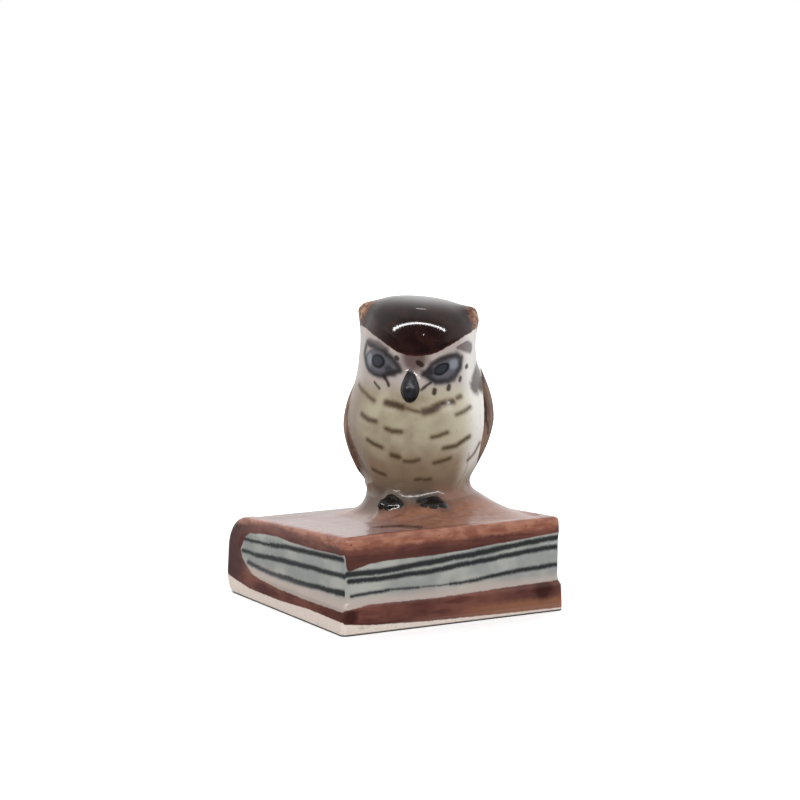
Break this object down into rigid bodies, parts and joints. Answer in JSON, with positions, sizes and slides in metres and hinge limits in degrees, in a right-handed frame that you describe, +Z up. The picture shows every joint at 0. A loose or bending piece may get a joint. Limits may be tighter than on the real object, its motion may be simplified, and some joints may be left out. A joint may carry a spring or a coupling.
{
  "type": "owl figurine on a book",
  "caption": "Small glazed porcelain owl with ear tufts and a dark crown, perched on a closed book with rounded spine and a bare foot to stand on.",
  "frame": {"origin": "centre of the underside of the book", "axes": "+Z up, X along the book's fore-edge with its tail at +X, -Y towards the fore-edge and +Y towards the spine"},
  "size_m": [0.0316, 0.0298, 0.0379],
  "materials": {
    "cover_glaze": "red-brown glaze, worn orange at the edges, glossy",
    "page_glaze": "grey-green celadon glaze with brushed dark lines",
    "bare_porcelain": "unglazed, matt",
    "body_glaze": "cream glaze with brown brush strokes, glossy",
    "face_glaze": "lilac-white glaze with painted eyes, glossy",
    "crown_glaze": "thick black-brown glaze, very glossy",
    "tuft_glaze": "dark glaze broken to orange at the rim",
    "beak_glaze": "slate blue glaze, glossy",
    "wing_glaze": "grey-brown glaze in long strokes, glossy",
    "toe_glaze": "black glaze, glossy"
  },
  "bodies": {
    "root": {"book_cover": "cover_glaze", "page_block": "page_glaze", "bare_foot": "bare_porcelain", "perch_mound": "cover_glaze", "owl_body": "body_glaze", "owl_head": "face_glaze", "crown_cap": "crown_glaze", "left_ear_tuft": "tuft_glaze", "right_ear_tuft": "tuft_glaze", "beak": "beak_glaze", "left_wing": "wing_glaze", "right_wing": "wing_glaze", "tail": "wing_glaze", "left_foot": "toe_glaze", "right_foot": "toe_glaze"}
  },
  "joints": []
}
